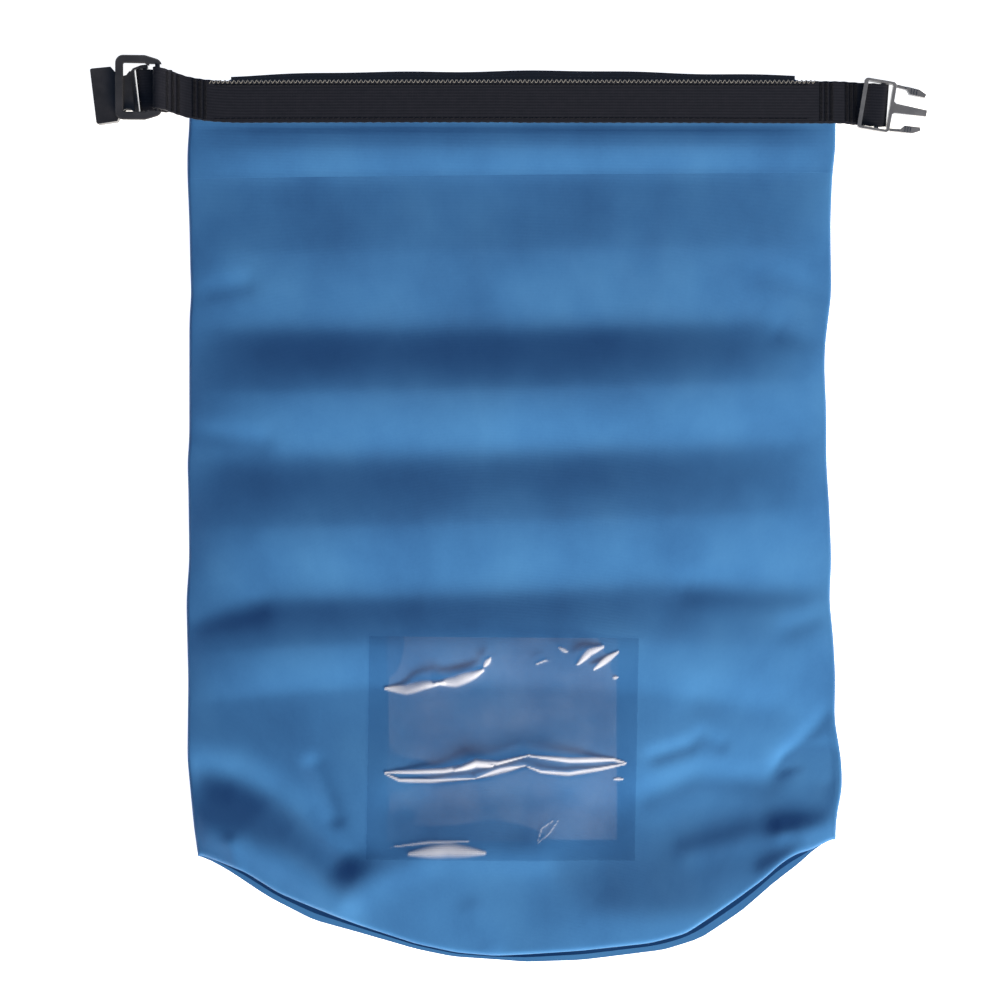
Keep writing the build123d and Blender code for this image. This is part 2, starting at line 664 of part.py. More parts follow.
PIECES = {
    "body_tube": make_body_tube,
    "base_gusset": make_base_gusset,
    "window_film": make_window_film,
    "roll_panel": make_roll_panel,
    "mouth_hem": make_mouth_hem,
    "stiffener_strip": make_stiffener_strip,
    "front_band": make_front_band,
    "back_band": make_back_band,
    "band_seams": make_band_seams,
    "edge_stitching": make_edge_stitching,
    "left_band_tack": make_left_band_tack,
    "right_band_tack": make_right_band_tack,
    "ring_strap": make_ring_strap,
    "socket_strap": make_socket_strap,
    "ring_strap_tack": make_ring_strap_tack,
    "d_ring": make_d_ring,
    "socket_buckle": make_socket_buckle,
    "plug_strap": make_plug_strap,
    "plug_strap_tack": make_plug_strap_tack,
    "plug_frame": make_plug_frame,
    "plug_upper_arm": make_upper_arm,
    "plug_lower_arm": make_lower_arm,
}

os.makedirs("parts", exist_ok=True)
for name, make in PIECES.items():
    export_step(make(), f"parts/{name}.step")
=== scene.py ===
import math

import bmesh
import bpy
import numpy as np
from mathutils import Matrix, Vector, noise


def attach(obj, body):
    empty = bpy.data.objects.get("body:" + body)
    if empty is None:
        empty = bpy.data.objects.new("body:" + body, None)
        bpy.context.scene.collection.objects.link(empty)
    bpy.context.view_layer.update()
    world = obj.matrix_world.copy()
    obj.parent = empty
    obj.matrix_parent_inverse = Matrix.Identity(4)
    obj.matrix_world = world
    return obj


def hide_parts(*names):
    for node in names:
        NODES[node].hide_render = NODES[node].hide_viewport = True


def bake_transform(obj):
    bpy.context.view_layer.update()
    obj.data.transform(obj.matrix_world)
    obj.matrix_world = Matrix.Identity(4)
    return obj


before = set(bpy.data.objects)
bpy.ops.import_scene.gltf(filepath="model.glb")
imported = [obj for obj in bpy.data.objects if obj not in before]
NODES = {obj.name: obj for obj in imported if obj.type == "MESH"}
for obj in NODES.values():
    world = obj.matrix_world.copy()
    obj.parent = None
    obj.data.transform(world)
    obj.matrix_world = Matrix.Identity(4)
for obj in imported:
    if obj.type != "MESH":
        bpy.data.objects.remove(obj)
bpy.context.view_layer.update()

# Shapes are worked out in millimetres and written to the meshes in metres.
MM = 0.001

# ---- cloth and webbing -----------------------------------------------------------------------
FABRIC = 0.6
EDGE = 4.2                  # thickness of the soft side folds
WEB = 1.2
WEBBING = 25.0              # width of the webbing
FILM = 0.4
FILM_LIFT = 0.3             # film above the cloth at the weld
MOUTH_CROWN = 8.2
HALF_WIDTH = 190.0          # nominal; lines across the bag are laid out over it

BAND_LOW, BAND_HIGH = 229.7, 254.7
BAND_MIDDLE = (BAND_LOW + BAND_HIGH) / 2
BAND_HALF = 195.0
HEM_HALF = 177.0            # half length of the hem's inner layer
INNER_HALF = 168.0          # half length and lower edge of the inner band
INNER_LOW = 233.3

# ---- outline of the lying bag ----------------------------------------------------------------
# Side folds as (y, x) from the mouth to the foot, lower edges as (x, y) from left to right.
LEFT_EDGE = (
    (262, -192.5), (228, -192.8), (214, -194.0), (200, -194.0), (171, -192.8), (142, -192.2),
    (128, -191.6), (114, -192.8), (42, -192.8), (28, -194.0), (14, -193.4), (-30, -192.8),
    (-54, -194.6), (-78, -194.0), (-101, -193.4), (-149, -194.0), (-167, -192.2), (-179, -191.0),
    (-191, -189.8), (-207, -187.4), (-270, -187.0),
)
RIGHT_EDGE = (
    (262, 192.5), (214, 192.2), (200, 190.4), (171, 189.2), (128, 189.8), (114, 188.0),
    (100, 186.2), (85, 185.6), (57, 186.8), (28, 186.8), (0, 188.6), (-30, 189.8), (-54, 188.6),
    (-78, 191.0), (-101, 192.2), (-125, 191.6), (-149, 195.8), (-167, 196.4), (-179, 193.4),
    (-191, 192.2), (-270, 192.0),
)
FRONT_BOTTOM = (
    (-190, -205.5), (-164, -214.6), (-143, -227.5), (-123, -235.5), (-96, -245.8), (-61, -257.2),
    (-36, -262.6), (-13, -264.4), (5, -263.4), (39, -260.9), (80, -256.4), (101, -250.9),
    (130, -231.6), (147, -219.6), (158, -209.8), (168, -203.8), (176, -202.4), (190, -196),
)
BACK_BOTTOM = (
    (-190, -206.5), (-175, -214.5), (-150, -231), (-123, -244.7), (-96, -252), (-61, -262), (-39, -266.5),
    (-8, -268.6), (5, -269.7), (39, -268.6), (89, -262.5), (111, -255.6), (136, -239), (155, -222.5),
    (171, -210.5), (180, -202), (190, -196),
)

# ---- swell of the front panel ----------------------------------------------------------------
CROWN = (
    (262, 8.2), (223, 8.2), (195, 7.4), (172, 4.9), (145, 6.6), (60, 15.4), (-75, 19.0),
    (-150, 18.0), (-200, 15.6), (-240, 14.2), (-270, 12.4),
)
# Hollows left by the roll: where they cross the left fold, the middle and the right fold, and how
# high the cloth swells above each of them in the same three places.
HOLLOWS = (
    ((197, 199, 200.5), (3.2, 3.0, 3.2)),
    ((109, 109, 115), (7.4, 7.0, 6.8)),
    ((30, 34, 40), (9.4, 9.2, 6.8)),
    ((-53, -48, -39), (9.0, 9.2, 7.2)),
    ((-118, -106, -128), (7.4, 6.4, 4.6)),
    ((-275, -290, -275), (4.4, 4.6, 3.6)),
)
# Folds and pinches in the front panel: the line each follows, its half width and its height.
FOLDS = (
    # the deep hollow across the left corner, and the crest below it
    (((-194, -155), (-164, -161), (-143, -170), (-124, -183), (-108, -199), (-102, -206)), 12, -5.4),
    (((-194, -187), (-160, -196), (-130, -209), (-102, -229)), 13, 4.2),
    (((-118, -152), (-110, -169), (-106, -182)), 6, -2.0),
    (((-167, -198), (-163, -214), (-160, -226)), 5, 1.5),
    # the hollow under the window, and the crest that leaves it
    (((-70, -176), (-30, -168), (13, -168), (60, -176)), 14, -1.8),
    (((-80, -216), (-43, -201), (13, -204)), 11, 1.8),
    (((10, -200), (30, -220), (46, -237), (82, -241), (116, -239)), 11, 1.0),
    # the broad ridge along the right of the foot, and the broad hollow above it
    (((40, -252), (82, -252), (112, -246), (150, -230), (194, -208)), 40, 4.0),
    (((56, -192), (112, -176), (150, -165), (194, -157)), 36, -7.5),
    # the groove where the fourth hollow meets the right side, and a short ridge at the foot
    (((104, -46), (150, -48), (194, -47)), 9, -1.3),
    (((-24, -238), (-14, -258)), 7, 1.0),
    # pinches across the right corner, and the crests at its lower edge
    (((80, -169), (110, -157), (129, -159), (152, -161), (164, -149)), 8, -1.6),
    (((158, -153), (172, -138), (188, -121)), 5, -1.6),
    (((164, -149), (196, -142)), 4.5, -1.6),
    (((104, -203), (142, -193), (168, -192)), 8, 1.0),
    (((160, -191), (196, -187)), 7, 2.4),
    (((150, -214), (172, -200)), 6, 1.6),
    (((84, -146), (104, -140)), 5, -1.6),
    (((112, -134), (122, -139)), 5, -1.2),
    (((112, -112), (150, -118)), 12, -1.4),
    # short pinches where the hollows meet the side folds
    (((-194, 47), (-150, 41)), 7, -1.0),
    (((-194, -68), (-152, -58)), 8, -1.2),
    (((-194, 128), (-160, 134)), 7, -1.0),
    (((194, 96), (160, 106)), 8, -1.0),
    (((194, -60), (165, -70)), 7, -1.0),
    (((194, 128), (150, 140)), 9, -0.9),
)

# ---- clear window ----------------------------------------------------------------------------
WINDOW = (-85.7, 73.2, -207.4, -75.3)
WELD = 10.0
# Creases in the film: the line each follows, half width, height, and how strong the white painted
# highlight along it is, standing in for light reflected off the crease.
FILM_CREASES = (
    (((-75, -105.8), (-63, -106.4), (-53, -103.4), (-42, -101.8)), 4.4, 1.5, 1.0),
    (((-45, -101.8), (-34, -101.4), (-23, -97.4), (-18, -94.6)), 4.8, 1.7, 1.0),
    (((-17, -92.4), (-13.4, -87.4)), 2.4, 1.0, 0.9),
    (((-34, -153.6), (-22, -150), (-12, -151)), 3.4, 0.8, 0.9),
    (
        ((-75.2, -155.4), (-41, -153.8), (-30, -151.8), (-22, -148.3), (-9, -149.2), (8.6, -144.8)),
        2.4, 1.5, 1.0,
    ),
    (((8.6, -144.8), (33, -147.6), (59, -147.8), (66.6, -149.9)), 2.2, 1.4, 1.0),
    (((-75.2, -156.2), (-67, -160), (-48, -160.4), (-22, -159)), 1.9, -1.1, 0.95),
    (((-22, -159), (-7, -154.2), (7.3, -151.4)), 2.6, -1.4, 0.95),
    (((7.3, -151.4), (17, -155), (33, -156.3), (52, -153.3), (66.6, -150.3)), 2.0, -1.2, 0.95),
    (((12.8, -91.4), (19, -88.8), (22.4, -88.8)), 0.9, 0.8, 0.7),
    (((27, -81), (32, -84)), 1.6, 0.8, 0.8),
    (((38, -91), (45, -84), (53, -81)), 3.0, 1.2, 1.0),
    (((48, -94), (56, -88), (62, -84)), 2.6, 1.1, 1.0),
    (((59, -99.6), (62, -99)), 1.5, 0.7, 0.8),
    (((60, -159.4), (65, -159.6)), 1.4, 0.7, 0.8),
    (((14.4, -196.6), (17, -188.5), (25, -183)), 0.8, 0.9, 0.5),
    (((14.8, -197), (21.5, -191.5), (26.6, -184)), 0.8, 0.9, 0.5),
    (((-61, -203.4), (-38, -201.2), (-17, -202.8)), 7.0, 0.4, 0.68),
    (((-72, -199.4), (-50, -196.6), (-26, -196)), 1.6, 0.5, 0.6),
)


def along(points, at, blur=6.0):
    """Soft curve through (place, value) points, read at the given places."""
    points = sorted(points)
    places = np.arange(points[0][0] - 40.0, points[-1][0] + 40.0)
    values = np.interp(places, [p[0] for p in points], [p[1] for p in points])
    reach = np.arange(-3 * blur, 3 * blur + 1)
    kernel = np.exp(-((reach / blur) ** 2) / 2)
    padded = np.pad(values, len(reach) // 2, mode="edge")
    values = np.convolve(padded, kernel / kernel.sum(), mode="valid")[: len(places)]
    return np.interp(at, places, values)


def ease(t):
    """Smooth step from 0 to 1."""
    t = np.clip(t, 0.0, 1.0)
    return t * t * (3 - 2 * t)


def through(three, x):
    """Quadratic over the width through a left, a middle and a right value."""
    left, middle, right = three
    s = x / HALF_WIDTH
    return middle + (right - left) / 2 * s + ((left + right) / 2 - middle) * s * s


def cloud(x, y, size, seed):
    """Slow random swell between -1 and 1."""
    flat = [noise.noise((a / size, b / size, seed)) for a, b in zip(x.ravel(), y.ravel())]
    return np.array(flat).reshape(x.shape)


def crease(x, y, line, wide, taper=0.0):
    """Soft ridge of height 1 along a line of points; taper narrows its two ends."""
    near = np.full_like(x, 1e9)
    gone = np.zeros_like(x)
    run = 0.0
    for (x0, y0), (x1, y1) in zip(line, line[1:]):
        dx, dy = x1 - x0, y1 - y0
        t = np.clip(((x - x0) * dx + (y - y0) * dy) / (dx * dx + dy * dy), 0.0, 1.0)
        gap = np.hypot(x - x0 - t * dx, y - y0 - t * dy)
        gone = np.where(gap < near, run + t * math.hypot(dx, dy), gone)
        near = np.minimum(near, gap)
        run += math.hypot(dx, dy)
    here = wide * (1 - taper + taper * np.sin(np.pi * gone / run))
    return np.exp(-((near / here) ** 2))


def sides(y):
    """Middle and half width of the bag at y."""
    left, right = along(LEFT_EDGE, y, 5.0), along(RIGHT_EDGE, y, 5.0)
    return (left + right) / 2, (right - left) / 2


def swells(x, y):
    """Soft swells between the hollows that rolling has left across the bag."""
    total = np.zeros_like(x)
    upper = np.full_like(x, BAND_LOW + 2.0)
    for where, heights in HOLLOWS:
        lower = through(where, x)
        t = (y - lower) / (upper - lower)
        high = through(heights, x)
        lift = high * (1 - np.abs(2 * t - 1) ** 1.6)
        round_off = 0.38 * high     # softens the hollow where two swells meet
        soft = np.sqrt(lift * lift + round_off * round_off) - round_off
        total += np.where((t > 0) & (t < 1), soft, 0.0)
        upper = lower
    return total


def front_base(x, y):
    """Outer height of the front panel without its swells, and how far out to the side it is."""
    middle, half = sides(y)
    s = np.clip(np.abs(x - middle) / half, 0.0, 1.0)
    power = 2.0 + 1.2 * ease((222.0 - y) / 70.0)
    return EDGE + (along(CROWN, y, 12.0) - EDGE) * (1 - s**power), s


def front_height(x, y):
    """Outer height of the front panel with its swells, folds and slow unevenness."""
    base, s = front_base(x, y)
    inside = 1 - s**8
    z = base + swells(x, y) * inside * (1 + 0.18 * cloud(x, y, 90.0, 3.0))
    body = ease((226.0 - y) / 40.0) * inside
    z += body * (0.8 * cloud(x, y, 70.0, 7.0) + 0.15 * cloud(x, y, 24.0, 11.0))
    fade = 1 - s**24
    for line, wide, height in FOLDS:
        z += height * crease(x, y, line, wide) * fade
    return np.maximum(z, 2.2)


def split_line(x):
    """The fabric is two pieces, parted in the hollow between the roll's two folds."""
    return through(HOLLOWS[0][0], x)


def arch(x):
    """Height of the front fabric under the band."""
    return EDGE + (MOUTH_CROWN - EDGE) * (1 - (x / BAND_HALF) ** 2)


# ---- mesh helpers ----------------------------------------------------------------------------
def shaped_grid(name, columns, rows, place, cut, closed=False):
    """A flat grid shaped by place(a, b), with a and b from 0 to 1; cut is its flat size in mm."""
    bm = bmesh.new()
    bm.loops.layers.uv.new("cut")
    bmesh.ops.create_grid(bm, x_segments=columns, y_segments=rows, size=0.5, calc_uvs=True)
    mesh = bpy.data.meshes.new(name)
    bm.to_mesh(mesh)
    bm.free()
    count = len(mesh.vertices)
    flat = np.empty(count * 3)
    mesh.vertices.foreach_get("co", flat)
    flat = flat.reshape(-1, 3)
    points = np.stack(place(flat[:, 0] + 0.5, flat[:, 1] + 0.5), axis=1) * MM
    mesh.vertices.foreach_set("co", points.ravel())
    layer = mesh.uv_layers["cut"]
    uv = np.empty(len(layer.data) * 2)
    layer.data.foreach_get("uv", uv)
    uv = uv.reshape(-1, 2) * np.array(cut) * MM
    layer.data.foreach_set("uv", uv.ravel())
    bm = bmesh.new()
    bm.from_mesh(mesh)
    if closed:
        bmesh.ops.remove_doubles(bm, verts=bm.verts, dist=1e-6)
        bmesh.ops.recalc_face_normals(bm, faces=bm.faces)
    for face in bm.faces:
        face.smooth = True
    for edge in bm.edges:
        edge.smooth = not edge.is_boundary
    bm.to_mesh(mesh)
    bm.free()
    piece = bpy.data.objects.new(name, mesh)
    bpy.context.scene.collection.objects.link(piece)
    return piece


def thicken(piece, thick, offset=-1.0, rim=0):
    """Wall of the given thickness in mm, inwards unless offset says otherwise."""
    wall = piece.modifiers.new("wall", "SOLIDIFY")
    wall.thickness = thick * MM
    wall.offset = offset
    wall.material_offset_rim = rim


def mark_vertices(piece, name, values):
    attribute = piece.data.attributes.new(name, "FLOAT", "POINT")
    attribute.data.foreach_set("value", np.asarray(values, dtype=np.float32))


def place_arrays(piece):
    count = len(piece.data.vertices)
    flat = np.empty(count * 3)
    piece.data.vertices.foreach_get("co", flat)
    flat = flat.reshape(-1, 3) / MM
    return flat[:, 0], flat[:, 1], flat[:, 2]


def finish_with(piece, *materials):
    piece.data.materials.clear()
    for material in materials:
        piece.data.materials.append(material)
    return piece


# ---- node helpers ----------------------------------------------------------------------------
class Finish:
    """A material with short calls for the few nodes that the finishes here use."""

    def __init__(self, name, **sockets):
        self.material = bpy.data.materials.new(name)
        self.material.use_nodes = True
        self.tree = self.material.node_tree
        self.tree.nodes.clear()
        self.output = self.tree.nodes.new("ShaderNodeOutputMaterial")
        self.shader = self.tree.nodes.new("ShaderNodeBsdfPrincipled")
        self.link(self.shader.outputs[0], self.output.inputs["Surface"])
        for socket, value in sockets.items():
            self.shader.inputs[socket.replace("_", " ")].default_value = value

    def link(self, source, target):
        self.tree.links.new(source, target)

    def fill(self, node, **inputs):
        for key, value in inputs.items():
            socket = node.inputs[int(key[1:])] if key[1:].isdigit() else node.inputs[key.replace("_", " ")]
            if isinstance(value, bpy.types.NodeSocket):
                self.link(value, socket)
            else:
                socket.default_value = value
        return node

    def uv(self):
        where = self.tree.nodes.new("ShaderNodeUVMap")
        where.uv_map = "cut"
        return self.mapped(where.outputs[0], (1.0, 1.0, 1.0))

    def object(self, scale=(1.0, 1.0, 1.0)):
        where = self.tree.nodes.new("ShaderNodeTexCoord")
        return self.mapped(where.outputs["Object"], scale)

    def mapped(self, vector, scale):
        node = self.tree.nodes.new("ShaderNodeMapping")
        return self.fill(node, Vector=vector, Scale=scale).outputs[0]

    def grain(self, vector, scale, detail=3.0, rough=0.5):
        node = self.tree.nodes.new("ShaderNodeTexNoise")
        return self.fill(node, Vector=vector, Scale=scale, Detail=detail, Roughness=rough).outputs[0]

    def bands(self, vector, scale, direction, distortion=0.0):
        node = self.tree.nodes.new("ShaderNodeTexWave")
        node.wave_type = "BANDS"
        node.bands_direction = direction
        node.wave_profile = "SIN"
        self.fill(node, Vector=vector, Scale=scale, Distortion=distortion)
        return node.outputs["Fac"]

    def attribute(self, name):
        node = self.tree.nodes.new("ShaderNodeAttribute")
        node.attribute_name = name
        return node.outputs["Fac"]

    def worked(self, operation, a, b, clamp=False):
        node = self.tree.nodes.new("ShaderNodeMath")
        node.operation = operation
        node.use_clamp = clamp
        return self.fill(node, _0=a, _1=b).outputs[0]

    def add(self, a, b, clamp=False):
        return self.worked("ADD", a, b, clamp)

    def times(self, a, b):
        return self.worked("MULTIPLY", a, b)

    def span(self, value, low, high, to_low, to_high):
        node = self.tree.nodes.new("ShaderNodeMapRange")
        return self.fill(node, _0=value, _1=low, _2=high, _3=to_low, _4=to_high).outputs[0]

    def ramp(self, value, *stops):
        node = self.tree.nodes.new("ShaderNodeValToRGB")
        spots = node.color_ramp.elements
        while len(spots) < len(stops):
            spots.new(0.5)
        for spot, (place, colour) in zip(spots, stops):
            spot.position = place
            spot.color = (*colour, 1.0)
        self.link(value, node.inputs[0])
        return node.outputs[0]

    def relief(self, height, distance, strength=1.0, under=None):
        node = self.tree.nodes.new("ShaderNodeBump")
        self.fill(node, Height=height, Distance=distance * MM, Strength=strength)
        if under is not None:
            self.link(under, node.inputs["Normal"])
        return node.outputs[0]

    def set(self, **sockets):
        self.fill(self.shader, **sockets)
        return self


def rgb(red, green, blue):
    """Scene colour from a paint-chart colour with parts up to 255."""
    def linear(part):
        part /= 255.0
        return part / 12.92 if part <= 0.04045 else ((part + 0.055) / 1.055) ** 2.4

    return (linear(red), linear(green), linear(blue))


# ---- finishes --------------------------------------------------------------------------------
WEAVE = 360.0               # scale of the cloth's weave


def coated_fabric(name="coated_fabric"):
    """Blue coated polyester: faint woven base under a satin coating, a little scuffed."""
    f = Finish(name, Specular_IOR_Level=0.5)
    flat = f.uv()
    slow = f.grain(flat, 14.0, 4.0)
    fine = f.grain(flat, 420.0, 2.0)
    shade = f.add(slow, f.times(fine, 0.12))
    colour = f.ramp(
        shade,
        (0.32, rgb(53, 104, 158)),
        (0.55, rgb(61, 116, 171)),
        (0.78, rgb(69, 126, 180)),
    )
    warp = f.bands(flat, WEAVE, "X")
    weft = f.bands(flat, WEAVE, "Y")
    weave = f.times(warp, weft)
    rough = f.span(f.grain(flat, 55.0, 4.0, 0.6), 0.3, 0.7, 0.44, 0.56)
    pebble = f.relief(f.grain(flat, 900.0, 2.0), 0.03, 0.5)
    normal = f.relief(weave, 0.05, 0.7, pebble)
    return f.set(Base_Color=colour, Roughness=rough, Normal=normal).material


def shaded_base_cloth(name="shaded_base_cloth"):
    """Cloth of the base: the same weave, painted a deeper blue as the shade in the recess between the
    panels; less rubbed than the panels.
    """
    f = Finish(name, Specular_IOR_Level=0.3)
    flat = f.uv()
    slow = f.grain(flat, 20.0, 4.0)
    weave = f.times(f.bands(flat, WEAVE, "X"), f.bands(flat, WEAVE, "Y"))
    # deeper blue: painted shade of the narrow gap between the front and back layers at the foot
    colour = f.ramp(slow, (0.3, rgb(18, 48, 92)), (0.7, rgb(26, 62, 110)))
    rough = f.span(slow, 0.3, 0.7, 0.6, 0.75)
    return f.set(Base_Color=colour, Roughness=rough, Normal=f.relief(weave, 0.06, 0.8)).material


def cut_edge(name="cut_edge"):
    """Raw edge of the coated fabric, where the pale core shows."""
    f = Finish(name, Specular_IOR_Level=0.3)
    flat = f.uv()
    threads = f.grain(flat, 700.0, 2.0)
    colour = f.ramp(threads, (0.35, rgb(70, 128, 186)), (0.7, rgb(128, 172, 214)))
    rough = f.span(threads, 0.3, 0.7, 0.6, 0.8)
    return f.set(Base_Color=colour, Roughness=rough, Normal=f.relief(threads, 0.1)).material


def webbing(name, dark, light):
    """Polypropylene webbing: fine ribs across, a rolled yarn along each rib."""
    f = Finish(name, Specular_IOR_Level=0.35, Sheen_Weight=0.25, Sheen_Roughness=0.4)
    flat = f.uv()
    ribs = f.bands(flat, 180.0, "Y", 0.6)
    yarn = f.bands(flat, 330.0, "X", 0.8)
    dust = f.grain(flat, 240.0, 3.0)
    weave = f.add(f.times(ribs, 0.7), f.times(yarn, 0.3))
    shade = f.add(f.times(weave, 0.35), f.times(dust, 0.65))
    colour = f.ramp(shade, (0.2, dark), (0.8, light))
    rough = f.span(dust, 0.3, 0.7, 0.55, 0.75)
    return f.set(Base_Color=colour, Roughness=rough, Normal=f.relief(weave, 0.09, 0.8)).material


def sewing_thread(name, dark, light):
    """Twisted sewing thread with a little lint."""
    f = Finish(name, Specular_IOR_Level=0.4)
    where = f.object()
    twist = f.bands(where, 900.0, "DIAGONAL", 1.0)
    lint = f.grain(where, 1500.0, 2.0)
    colour = f.ramp(f.times(twist, lint), (0.1, dark), (0.6, light))
    rough = f.span(lint, 0.3, 0.7, 0.45, 0.65)
    return f.set(Base_Color=colour, Roughness=rough, Normal=f.relief(twist, 0.05)).material


def moulded_plastic(name, dark, light, shine):
    """Injection-moulded acetal: fine spark texture, softly rubbed."""
    f = Finish(name, Specular_IOR_Level=0.5)
    where = f.object()
    rubbed = f.grain(where, 60.0, 4.0, 0.6)
    spark = f.grain(where, 1800.0, 2.0)
    colour = f.ramp(f.add(rubbed, f.times(spark, 0.2)), (0.4, dark), (0.8, light))
    rough = f.span(rubbed, 0.3, 0.7, shine, shine + 0.12)
    return f.set(Base_Color=colour, Roughness=rough, Normal=f.relief(spark, 0.04, 0.6)).material


def stiff_strip(name="strip_plastic"):
    """Pale extruded strip, drawn along its length."""
    f = Finish(name, Specular_IOR_Level=0.5)
    where = f.object((1.0, 40.0, 1.0))
    drawn = f.grain(where, 60.0, 3.0)
    colour = f.ramp(drawn, (0.3, rgb(196, 198, 200)), (0.7, rgb(222, 223, 224)))
    rough = f.span(drawn, 0.3, 0.7, 0.3, 0.42)
    return f.set(Base_Color=colour, Roughness=rough, Normal=f.relief(drawn, 0.05)).material


def clear_film(name="clear_film"):
    """Clear flexible vinyl: slightly hazy, with white painted highlights along the sharp creases, embossed
    at the welds.
    """
    f = Finish(name, Specular_IOR_Level=0.6)
    flat = f.uv()
    haze = f.grain(flat, 40.0, 4.0, 0.6)
    # crease glint: painted highlight, the white streaks of reflected light along the film's creases
    crease_glint = f.attribute("crease_glint")
    weld = f.attribute("weld")
    colour = f.ramp(haze, (0.3, rgb(208, 214, 228)), (0.7, rgb(230, 235, 246)))
    dots = f.times(f.bands(flat, 300.0, "X"), f.bands(flat, 300.0, "Y"))
    emboss = f.relief(f.times(dots, weld), 0.18, 0.8)
    normal = f.relief(f.grain(flat, 60.0, 3.0), 0.35, 0.25, emboss)
    rough = f.span(weld, 0.0, 1.0, 0.07, 0.3)
    f.set(Base_Color=colour, Roughness=rough, Normal=normal)
    veil = f.span(haze, 0.3, 0.7, 0.022, 0.036)
    off_cloth = f.span(f.attribute("clear_gap"), 0.6, 0.8, 0.25, 1.0)
    inside = f.times(f.times(veil, off_cloth), f.span(weld, 0.0, 1.0, 1.0, 0.1))
    cover = f.add(inside, f.times(crease_glint, 0.62), clamp=True)
    see = f.tree.nodes.new("ShaderNodeBsdfTransparent")
    see.inputs[0].default_value = (0.92, 0.935, 0.95, 1.0)
    mix = f.tree.nodes.new("ShaderNodeMixShader")
    f.link(cover, mix.inputs[0])
    f.link(see.outputs[0], mix.inputs[1])
    f.link(f.shader.outputs[0], mix.inputs[2])
    f.link(mix.outputs[0], f.output.inputs["Surface"])
    return f.material


FABRIC_FINISH = coated_fabric()
CUT_EDGE = cut_edge()
BASE_SHADED_FINISH = shaded_base_cloth()
WEBBING_FINISH = webbing("black_webbing", rgb(22, 23, 28), rgb(38, 39, 46))
# inner band: the black webbing painted a lighter warm grey, painted light so that the band lying in the
# front band's shade reads lit
LIT_INNER_WEBBING = webbing("inner_webbing_painted_light", rgb(70, 66, 64), rgb(98, 94, 90))
BLACK_THREAD = sewing_thread("black_thread", rgb(14, 14, 15), rgb(48, 48, 52))
PALE_THREAD = sewing_thread("pale_thread", rgb(96, 96, 94), rgb(176, 176, 172))
SOCKET_FINISH = moulded_plastic("dark_moulding", rgb(30, 30, 32), rgb(52, 52, 55), 0.3)
PLUG_FINISH = moulded_plastic("grey_moulding", rgb(78, 80, 84), rgb(112, 114, 118), 0.2)
STRIP_FINISH = stiff_strip()
FILM_FINISH = clear_film()


# ---- fabric of the bag -----------------------------------------------------------------------
FRONT_COLUMNS, FOLD_COLUMNS, BACK_COLUMNS = 150, 6, 64
AROUND = FRONT_COLUMNS + 2 * FOLD_COLUMNS + BACK_COLUMNS
GIRTH = 766.0


def round_the_bag(a):
    """Splits the way round the bag into how far across (-1 to 1), and how far round a side fold."""
    c = a * AROUND
    across = np.empty_like(c)
    turn = np.zeros_like(c)         # 0 on the front, 1 on the back
    front = c <= FRONT_COLUMNS
    across[front] = -1 + 2 * c[front] / FRONT_COLUMNS
    start = FRONT_COLUMNS
    right = (c > start) & (c < start + FOLD_COLUMNS)
    across[right], turn[right] = 1.0, (c[right] - start) / FOLD_COLUMNS
    start += FOLD_COLUMNS
    back = (c >= start) & (c <= start + BACK_COLUMNS)
    across[back], turn[back] = 1 - 2 * (c[back] - start) / BACK_COLUMNS, 1.0
    start += BACK_COLUMNS
    left = c > start
    across[left], turn[left] = -1.0, 1 - (c[left] - start) / FOLD_COLUMNS
    return across, turn


def skin(across, turn, y, front_z):
    """Points of the bag's outer skin; front_z gives the front's height."""
    middle, half = sides(y)
    radius = EDGE / 2
    flat_half = half - radius
    x = middle + across * flat_half
    top = front_z(x, y)
    under = 0.25 + 0.25 * cloud(x, y, 70.0, 5.0)
    swing = np.pi * turn
    lift = (top + under) / 2 + (top - under) / 2 * np.cos(swing)
    x = x + np.sign(across) * radius * np.sin(swing) * (np.abs(across) >= 1.0)
    return x, y, lift


def body_place(a, b):
    across, turn = round_the_bag(a)
    nominal = across * HALF_WIDTH
    low_front = along(FRONT_BOTTOM, nominal, 3.0)
    low_back = along(BACK_BOTTOM, nominal, 3.0)
    low = low_front + (low_back - low_front) * turn
    # rows stand closer near the foot, where the front's edge rolls under
    packed = (b - 0.009 * (1 - np.exp(-b / 0.012))) / 0.991
    y = low + (split_line(nominal) - low) * packed
    x, y, z = skin(across, turn, y, front_height)
    rolled = 1.3 * np.clip(1 - (y - low) / 1.7, 0.0, 1.0) ** 2 * (1 - turn)
    return x, y, z - rolled


def roll_place(a, b):
    across, turn = round_the_bag(a)
    nominal = across * HALF_WIDTH
    # the back's edge rises behind the inner band and drops again past the band's ends
    behind = ease((INNER_HALF + 4.0 - np.abs(nominal)) / 6.0)
    back_high = 254.0 + (3.2 + 2.8 * (1 - (nominal / INNER_HALF) ** 2)) * behind
    high = BAND_HIGH - 0.1 + (back_high - BAND_HIGH + 0.1) * turn
    low = split_line(nominal)
    y = low + (high - low) * b

    def height(x, y):
        covered = ease((y - 224.0) / 5.0)
        free = front_height(x, y)
        return free + (arch(x) - 0.05 - free) * covered

    return skin(across, turn, y, height)


def make_bag_fabric():
    piece = shaped_grid("bag_fabric", AROUND, 186, body_place, (GIRTH, 470.0), closed=True)
    thicken(piece, FABRIC)
    finish_with(piece, FABRIC_FINISH)
    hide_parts("body_tube")
    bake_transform(piece)


def make_roll_fabric():
    piece = shaped_grid("roll_fabric", AROUND, 28, roll_place, (GIRTH, 58.0), closed=True)
    thicken(piece, FABRIC)
    finish_with(piece, FABRIC_FINISH)
    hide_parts("roll_panel", "mouth_hem")
    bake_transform(piece)


